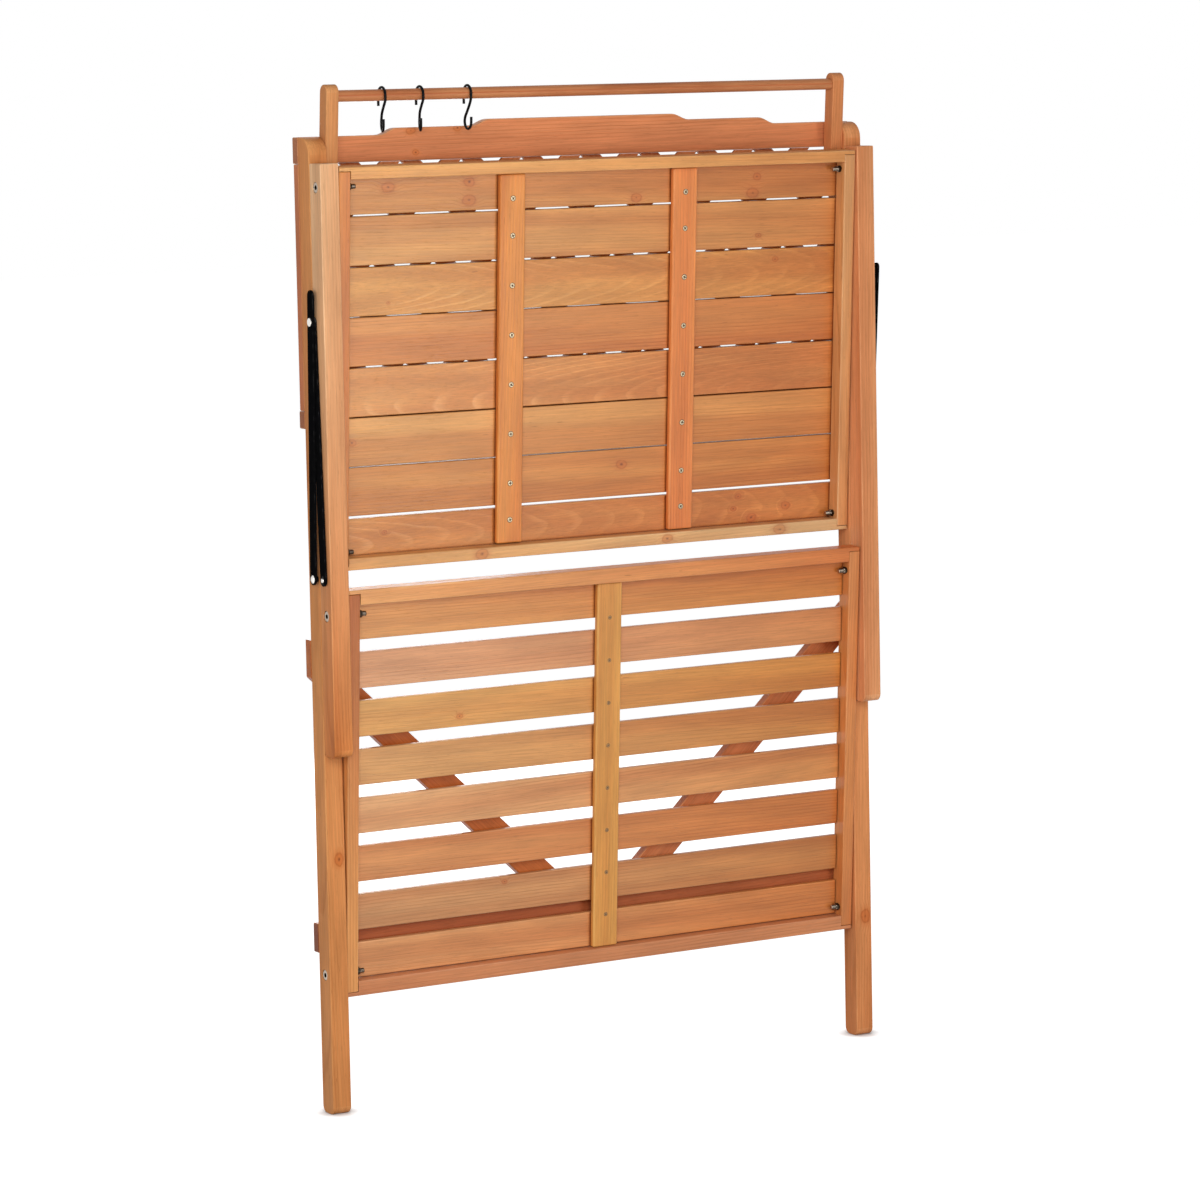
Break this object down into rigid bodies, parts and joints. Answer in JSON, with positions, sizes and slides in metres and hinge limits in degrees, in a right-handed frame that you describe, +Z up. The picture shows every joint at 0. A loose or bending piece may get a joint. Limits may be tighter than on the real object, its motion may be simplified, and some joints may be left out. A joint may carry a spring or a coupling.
{
  "type": "folding potting bench",
  "caption": "Wooden potting bench that folds flat: parallelogram table top and slatted shelf between leg pairs, lattice back, hook bar with S-hooks and folding stays.",
  "frame": {"origin": "centre of the bounding box on the floor, under the folded bench", "axes": "+Z up, -Y towards the user at the front, +X to the right"},
  "size_m": [0.795, 0.071, 1.232],
  "materials": {
    "leg_wood": "stained, satin",
    "board_wood": "stained, satin",
    "rail_wood": "stained, satin",
    "back_wood": "stained, satin",
    "slat_wood": "stained, satin",
    "zinc_steel": "bright zinc plated",
    "black_steel": "satin black"
  },
  "bodies": {
    "rear_frame": {"bar_upright_left": "leg_wood", "bar_upright_right": "leg_wood", "brace_left": "back_wood", "brace_right": "back_wood", "crest_board": "back_wood", "hook_bar": "back_wood", "lattice_bottom_rail": "back_wood", "lattice_panel": "back_wood", "lattice_side_left": "back_wood", "lattice_side_right": "back_wood", "lower_back_rail": "back_wood", "rear_leg_left": "leg_wood", "rear_leg_right": "leg_wood", "shelf_rear_bolt_left": "zinc_steel", "shelf_rear_bolt_right": "zinc_steel", "table_rear_bolt_left": "zinc_steel", "table_rear_bolt_right": "zinc_steel"},
    "table_top": {"table_batten_left": "rail_wood", "table_batten_right": "rail_wood", "table_board_1": "board_wood", "table_board_2": "board_wood", "table_board_3": "board_wood", "table_board_4": "board_wood", "table_board_5": "board_wood", "table_board_6": "board_wood", "table_board_7": "board_wood", "table_board_8": "board_wood", "table_front_rail": "rail_wood", "table_rear_rail": "rail_wood", "table_stile_left": "rail_wood", "table_stile_right": "rail_wood"},
    "shelf": {"shelf_batten": "rail_wood", "shelf_front_rail": "rail_wood", "shelf_rear_rail": "rail_wood", "shelf_slat_1": "slat_wood", "shelf_slat_2": "slat_wood", "shelf_slat_3": "slat_wood", "shelf_slat_4": "slat_wood", "shelf_slat_5": "slat_wood", "shelf_slat_6": "slat_wood", "shelf_slat_7": "slat_wood", "shelf_slat_8": "slat_wood", "shelf_stile_left": "rail_wood", "shelf_stile_right": "rail_wood"},
    "front_legs": {"front_leg_left": "leg_wood", "front_leg_right": "leg_wood", "shelf_front_bolt_left": "zinc_steel", "shelf_front_bolt_right": "zinc_steel", "table_front_bolt_left": "zinc_steel", "table_front_bolt_right": "zinc_steel"},
    "s_hook_1": {"s_hook_1": "black_steel"},
    "s_hook_2": {"s_hook_2": "black_steel"},
    "s_hook_3": {"s_hook_3": "black_steel"},
    "stay_front_arm_left": {"stay_front_arm_left": "black_steel"},
    "stay_front_arm_right": {"stay_front_arm_right": "black_steel"},
    "stay_rear_arm_left": {"stay_rear_arm_left": "black_steel"},
    "stay_rear_arm_right": {"stay_rear_arm_right": "black_steel"}
  },
  "joints": [
    {"name": "table_fold", "type": "hinge", "parent": "rear_frame", "child": "table_top", "pos_m": [0, 0.00715, 0.676], "axis": [1, 0, 0], "range_deg": [0, 86.25]},
    {"name": "shelf_fold", "type": "hinge", "parent": "rear_frame", "child": "shelf", "pos_m": [0, 0.00715, 0.169], "axis": [1, 0, 0], "range_deg": [0, 86.25]},
    {"name": "front_legs_level", "type": "hinge", "parent": "table_top", "child": "front_legs", "pos_m": [0, -0.02145, 1.112], "axis": [1, 0, 0], "range_deg": [-86.25, 0]},
    {"name": "stay_rear_arm_left_turn", "type": "hinge", "parent": "rear_frame", "child": "stay_rear_arm_left", "pos_m": [-0.3945, -0.00085, 0.648], "axis": [1, 0, 0], "range_deg": [0, 131.97]},
    {"name": "stay_front_arm_left_turn", "type": "hinge", "parent": "front_legs", "child": "stay_front_arm_left", "pos_m": [-0.3945, -0.02145, 0.648], "axis": [1, 0, 0], "range_deg": [-41.03, 0]},
    {"name": "stay_rear_arm_right_turn", "type": "hinge", "parent": "rear_frame", "child": "stay_rear_arm_right", "pos_m": [0.3945, -0.00085, 0.648], "axis": [1, 0, 0], "range_deg": [0, 131.97]},
    {"name": "stay_front_arm_right_turn", "type": "hinge", "parent": "front_legs", "child": "stay_front_arm_right", "pos_m": [0.3945, -0.02145, 0.648], "axis": [1, 0, 0], "range_deg": [-41.03, 0]},
    {"name": "hook_1_swing", "type": "hinge", "parent": "rear_frame", "child": "s_hook_1", "pos_m": [-0.287, 0.00054, 1.21805], "axis": [1, 0, 0], "range_deg": [-60, 10]},
    {"name": "hook_2_swing", "type": "hinge", "parent": "rear_frame", "child": "s_hook_2", "pos_m": [-0.236, 0.00054, 1.21805], "axis": [1, 0, 0], "range_deg": [-60, 10]},
    {"name": "hook_3_swing", "type": "hinge", "parent": "rear_frame", "child": "s_hook_3", "pos_m": [-0.171, 0.00054, 1.21805], "axis": [1, 0, 0], "range_deg": [-60, 10]}
  ],
  "couplings": [
    {"joint": "shelf_fold", "follows": "table_fold", "ratio": 1},
    {"joint": "front_legs_level", "follows": "table_fold", "ratio": -1},
    {"joint": "stay_rear_arm_left_turn", "follows": "table_fold", "ratio": 1.5295},
    {"joint": "stay_front_arm_left_turn", "follows": "table_fold", "ratio": -0.47518},
    {"joint": "stay_rear_arm_right_turn", "follows": "table_fold", "ratio": 1.5295},
    {"joint": "stay_front_arm_right_turn", "follows": "table_fold", "ratio": -0.47518}
  ]
}
